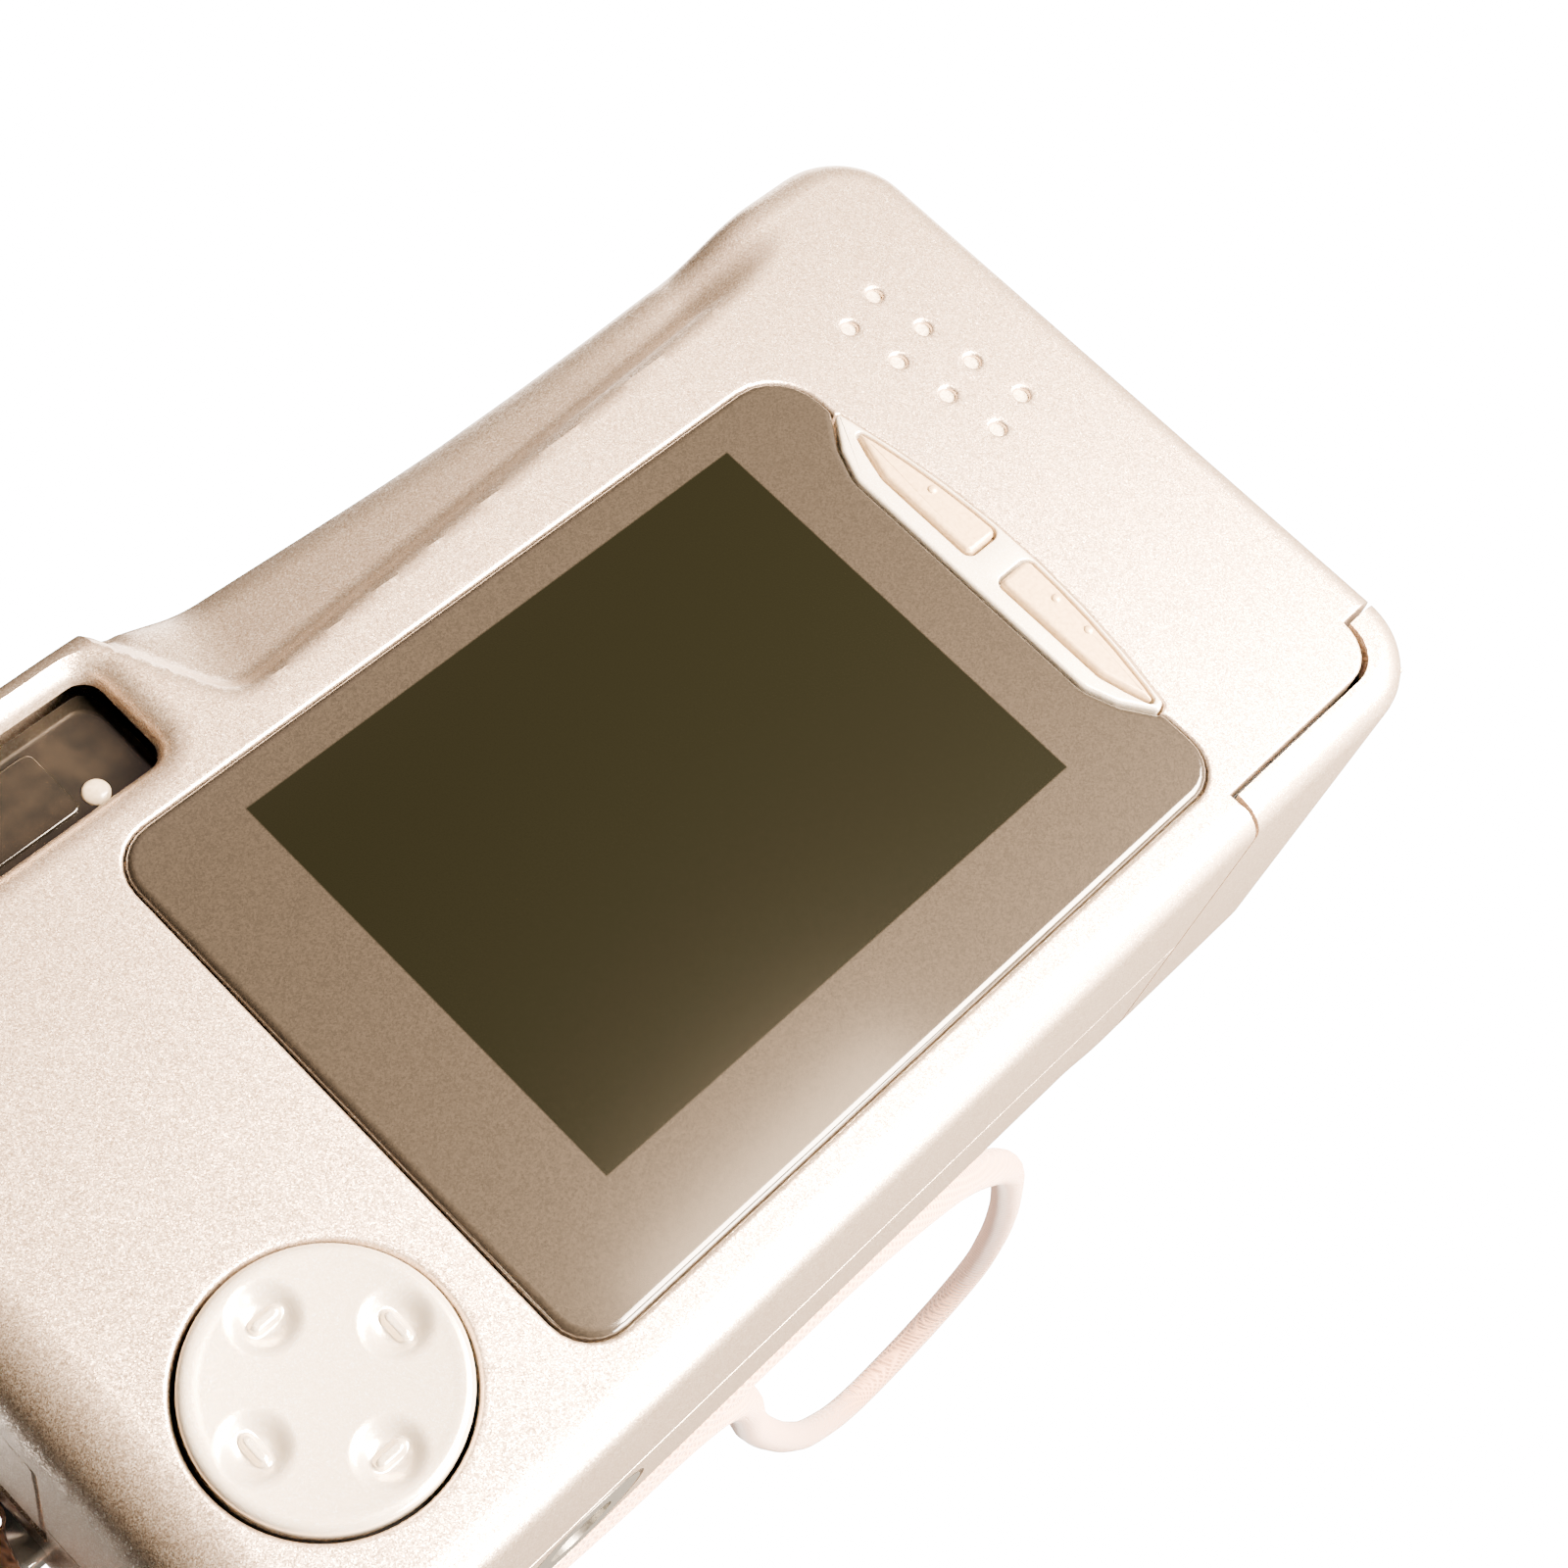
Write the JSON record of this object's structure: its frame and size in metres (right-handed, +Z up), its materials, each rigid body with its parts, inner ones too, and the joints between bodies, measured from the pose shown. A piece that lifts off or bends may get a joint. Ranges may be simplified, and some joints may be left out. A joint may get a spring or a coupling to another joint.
{
  "type": "pocket digital camera",
  "caption": "Pocket digital still and video camera with rear display, direct viewfinder, four-way disc, battery grip, closed lens barrier and a wrist strap.",
  "frame": {"origin": "centre of the camera's base, halfway between the tip of the strap lug and the right wall, and halfway between the lens side and the disc side", "axes": "+Z up, +Y the way the lens looks, +X to the right as seen from the back"},
  "size_m": [0.1213, 0.1835, 0.058],
  "materials": {
    "silver_paint": "silver metallic paint over moulded plastic, fine grain",
    "smoked_acrylic": "tinted clear acrylic, printed behind, polished",
    "dark_panel": "dark liquid crystal panel",
    "black_plastic": "black moulded plastic",
    "gloss_black": "polished black plastic",
    "bright_trim": "satin metallised plastic",
    "key_plastic": "smooth pale moulded plastic",
    "disc_plastic": "metallised plastic, satin",
    "clear_plastic": "clear moulded plastic, polished",
    "optical_glass": "coated optical glass",
    "chrome_part": "bright chromium plate",
    "steel_part": "plain steel",
    "gold_contact": "gold flashed spring bronze",
    "board": "green solder mask on glass fibre board",
    "white_plastic": "white diffusing plastic",
    "cell_sleeve": "printed steel can",
    "capacitor_sleeve": "shrunk plastic sleeve",
    "lamp_amber": "amber clear plastic",
    "lamp_pale": "milky clear plastic",
    "woven_cord": "round braided nylon cord"
  },
  "bodies": {
    "casing": {"back_cover": "silver_paint", "front_cover": "silver_paint", "display_window": "smoked_acrylic", "display_panel": "dark_panel", "display_backlight": "white_plastic", "key_trim": "bright_trim", "eyepiece_plate": "gloss_black", "eye_lens": "clear_plastic", "finder_tube": "black_plastic", "finder_front_window": "clear_plastic", "indicator_lamp": "lamp_pale", "speaker": "black_plastic", "microphone": "black_plastic", "self_timer_lamp": "lamp_amber", "flash_window": "clear_plastic", "flash_reflector": "chrome_part", "flash_tube": "clear_plastic", "flash_capacitor": "capacitor_sleeve", "lens_ring": "bright_trim", "lens_housing": "black_plastic", "front_lens_cell": "black_plastic", "front_lens": "optical_glass", "guide_rods": "steel_part", "focus_motor": "steel_part", "image_sensor": "dark_panel", "sensor_board": "board", "main_board": "board", "key_board": "board", "key_domes": "steel_part", "shutter_ring": "bright_trim", "top_board": "board", "battery_compartment": "black_plastic", "battery_cells": "cell_sleeve", "top_contacts": "gold_contact", "door_hinge_pin": "steel_part", "card_socket": "steel_part", "usb_jack": "steel_part", "av_jack": "black_plastic", "dc_jack": "black_plastic", "cover_pin": "steel_part", "tripod_socket": "steel_part", "casing_screws": "steel_part", "strap_lug": "chrome_part", "strap_loop": "woven_cord", "strap_ferrule": "gloss_black", "wrist_cord": "woven_cord"},
    "shutter": {"shutter_button": "bright_trim"},
    "power": {"power_button": "bright_trim"},
    "mode": {"mode_key": "key_plastic"},
    "set": {"set_key": "key_plastic"},
    "disc_rocker": {"disc_pivot": "black_plastic"},
    "disc": {"control_disc": "disc_plastic"},
    "door": {"battery_door": "silver_paint", "door_contact": "gold_contact"},
    "latch": {"door_latch": "key_plastic"},
    "side_cover": {"terminal_cover": "silver_paint"},
    "blade_upper": {"barrier_blade_upper": "gloss_black"},
    "blade_lower": {"barrier_blade_lower": "gloss_black"},
    "focus_carriage": {"focus_cell": "black_plastic", "focus_lens": "optical_glass"}
  },
  "joints": [
    {"name": "shutter_press", "type": "slide", "parent": "casing", "child": "shutter", "axis": [0, 0, -1], "range_m": [0, 0.0009], "stiffness_N_per_m": 400},
    {"name": "power_press", "type": "slide", "parent": "casing", "child": "power", "axis": [0, 0, -1], "range_m": [0, 0.0005], "stiffness_N_per_m": 400},
    {"name": "mode_press", "type": "slide", "parent": "casing", "child": "mode", "axis": [0, 1, 0], "range_m": [0, 0.0004], "stiffness_N_per_m": 400},
    {"name": "set_press", "type": "slide", "parent": "casing", "child": "set", "axis": [0, 1, 0], "range_m": [0, 0.0004], "stiffness_N_per_m": 400},
    {"name": "disc_up_down", "type": "hinge", "parent": "casing", "child": "disc_rocker", "pos_m": [-0.0352, -0.016, 0.0127], "axis": [1, 0, 0], "range_deg": [-2.5, 2.5], "stiffness_Nm_per_rad": 0.05},
    {"name": "disc_left_right", "type": "hinge", "parent": "disc_rocker", "child": "disc", "pos_m": [-0.0352, -0.016, 0.0127], "axis": [0, 0, 1], "range_deg": [-2.5, 2.5], "stiffness_Nm_per_rad": 0.05},
    {"name": "door_hinge", "type": "hinge", "parent": "casing", "child": "door", "pos_m": [0.0335, 0, 0.0013], "axis": [0, 1, 0], "range_deg": [0, 100]},
    {"name": "latch_slide", "type": "slide", "parent": "door", "child": "latch", "axis": [-1, 0, 0], "range_m": [0, 0.002]},
    {"name": "side_cover_hinge", "type": "hinge", "parent": "casing", "child": "side_cover", "pos_m": [-0.0471, 0.0034, 0.035], "axis": [0, 0, -1], "range_deg": [0, 90]},
    {"name": "blade_upper_swing", "type": "hinge", "parent": "casing", "child": "blade_upper", "pos_m": [-0.0247, 0.0153, 0.0285], "axis": [0, -1, 0], "range_deg": [0, 45]},
    {"name": "blade_lower_swing", "type": "hinge", "parent": "casing", "child": "blade_lower", "pos_m": [-0.0037, 0.0153, 0.0255], "axis": [0, -1, 0], "range_deg": [0, 45]},
    {"name": "focus_slide", "type": "slide", "parent": "casing", "child": "focus_carriage", "axis": [0, 1, 0], "range_m": [-0.001, 0.001]}
  ],
  "couplings": [
    {"joint": "blade_lower_swing", "follows": "blade_upper_swing", "ratio": 1}
  ]
}
